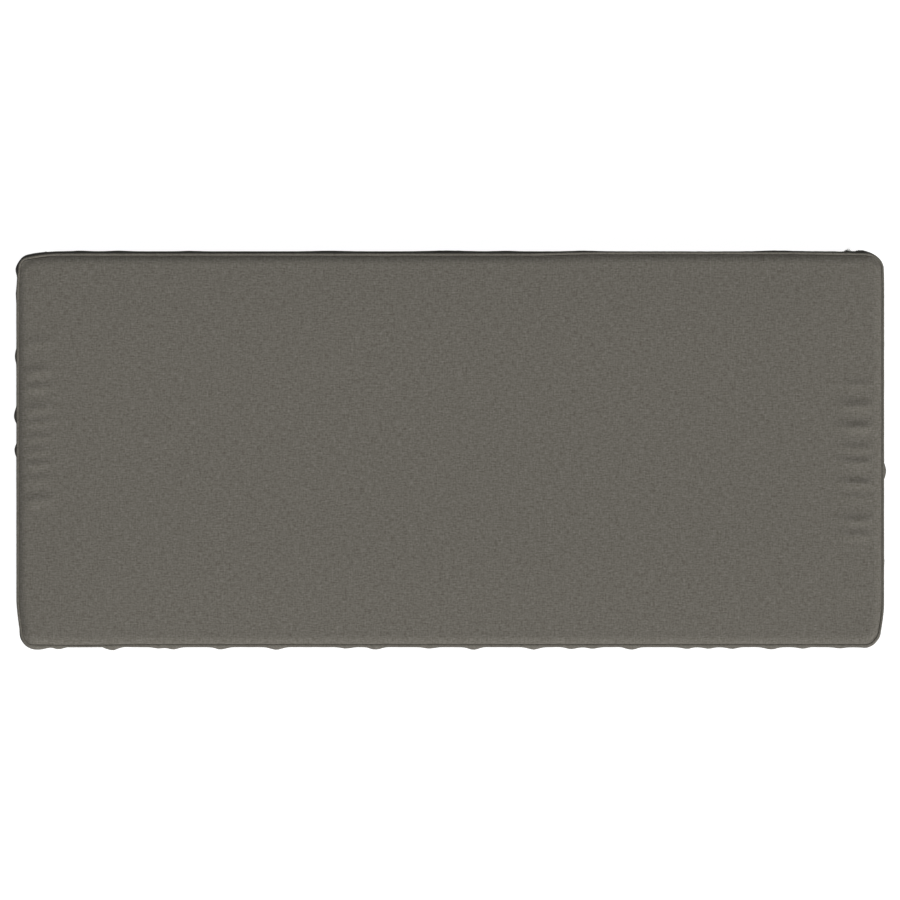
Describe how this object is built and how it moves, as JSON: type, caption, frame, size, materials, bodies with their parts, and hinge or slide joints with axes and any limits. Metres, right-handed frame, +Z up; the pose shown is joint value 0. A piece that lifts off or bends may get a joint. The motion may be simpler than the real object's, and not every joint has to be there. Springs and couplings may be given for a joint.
{
  "type": "bench cushion",
  "caption": "Long rectangular boxed bench cushion with piped seams and a zip along its back side.",
  "frame": {"origin": "middle of the flat underside, on the surface that the cushion lies on", "axes": "+X along the cushion's length, +Y from its front to its back, where the zip is, +Z up through its thickness"},
  "size_m": [1.2098, 0.5595, 0.07],
  "materials": {
    "cover_cloth": "matte plain weave in a heathered grey-taupe",
    "piping_cloth": "matte, the cover's own cloth wrapped round a thin cord",
    "zip_tape": "matte, finely woven dark grey tape",
    "zip_teeth": "satin dark grey nylon",
    "zip_metal": "nickel plated, polished"
  },
  "bodies": {
    "root": {"cushion": "cover_cloth", "piping_top": "piping_cloth", "piping_bottom": "piping_cloth", "zip_tape_upper": "zip_tape", "zip_tape_lower": "zip_tape", "zip_teeth": "zip_teeth", "zip_slider": "zip_metal", "zip_pull": "zip_metal"}
  },
  "joints": []
}
